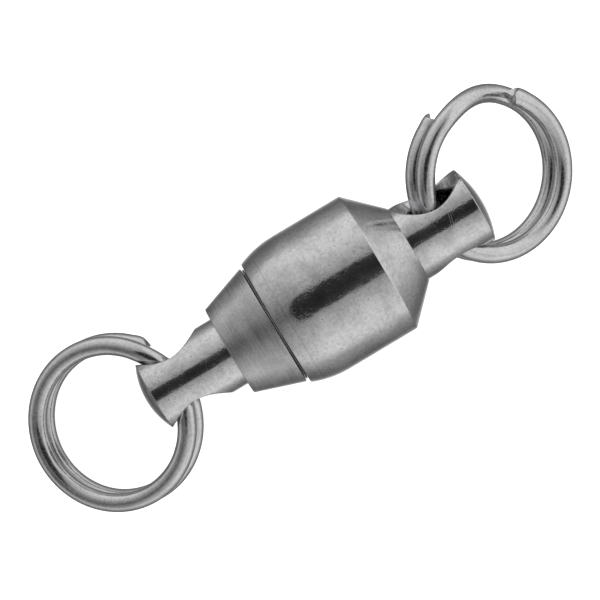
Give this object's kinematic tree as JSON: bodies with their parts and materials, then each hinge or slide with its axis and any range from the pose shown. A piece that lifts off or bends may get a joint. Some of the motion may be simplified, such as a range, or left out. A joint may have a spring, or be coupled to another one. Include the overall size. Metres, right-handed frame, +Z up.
{
  "type": "ball-bearing swivel",
  "caption": "Steel ball-bearing swivel: a barrel and a cone-collared pin that turn freely, with a split ring through the cross-hole at each end.",
  "frame": {"origin": "on the table, below the midpoint between the two cross-holes", "axes": "+X along the swivel axis from the rotor eye to the fixed eye, +Z up, table at z = 0"},
  "size_m": [0.063, 0.0198, 0.0154],
  "materials": {
    "tumbled_steel": "tumbled stainless steel, fine mottled grain",
    "turned_steel": "fine-turned stainless steel, circumferential feed marks",
    "ring_wire": "bright drawn stainless wire",
    "bearing_steel": "ground and polished",
    "washer_polymer": "plain grey acetal"
  },
  "bodies": {
    "housing": {"barrel_shell": "tumbled_steel", "fixed_eye_pin": "tumbled_steel", "housing_race": "bearing_steel", "thrust_disc": "washer_polymer"},
    "rotor": {"rotor_eye_pin": "tumbled_steel", "cone_collar": "turned_steel", "dust_washer": "washer_polymer", "rotor_race": "bearing_steel"},
    "ball_train": {"ball_01": "bearing_steel", "ball_02": "bearing_steel", "ball_03": "bearing_steel", "ball_04": "bearing_steel", "ball_05": "bearing_steel", "ball_06": "bearing_steel", "ball_07": "bearing_steel", "ball_08": "bearing_steel", "ball_09": "bearing_steel", "ball_10": "bearing_steel", "ball_11": "bearing_steel", "ball_12": "bearing_steel", "ball_13": "bearing_steel", "ball_14": "bearing_steel", "ball_15": "bearing_steel"},
    "rotor_ring": {"rotor_split_ring": "ring_wire"},
    "fixed_ring": {"fixed_split_ring": "ring_wire"}
  },
  "joints": [
    {"name": "swivel_spin", "type": "hinge", "parent": "housing", "child": "rotor", "pos_m": [0, 0, 0.00768], "axis": [1, 0, 0], "continuous": true},
    {"name": "ball_orbit", "type": "hinge", "parent": "housing", "child": "ball_train", "pos_m": [0, 0, 0.00768], "axis": [1, 0, 0], "continuous": true},
    {"name": "rotor_ring_swing", "type": "hinge", "parent": "rotor", "child": "rotor_ring", "pos_m": [-0.01512, 0, 0.00768], "axis": [0, 1, 0], "range_deg": [-120, 159]},
    {"name": "fixed_ring_swing", "type": "hinge", "parent": "housing", "child": "fixed_ring", "pos_m": [0.01512, 0, 0.00768], "axis": [0, 0.9361, 0.3518], "range_deg": [-153, 113]}
  ],
  "couplings": [
    {"joint": "ball_orbit", "follows": "swivel_spin", "ratio": 0.5}
  ]
}
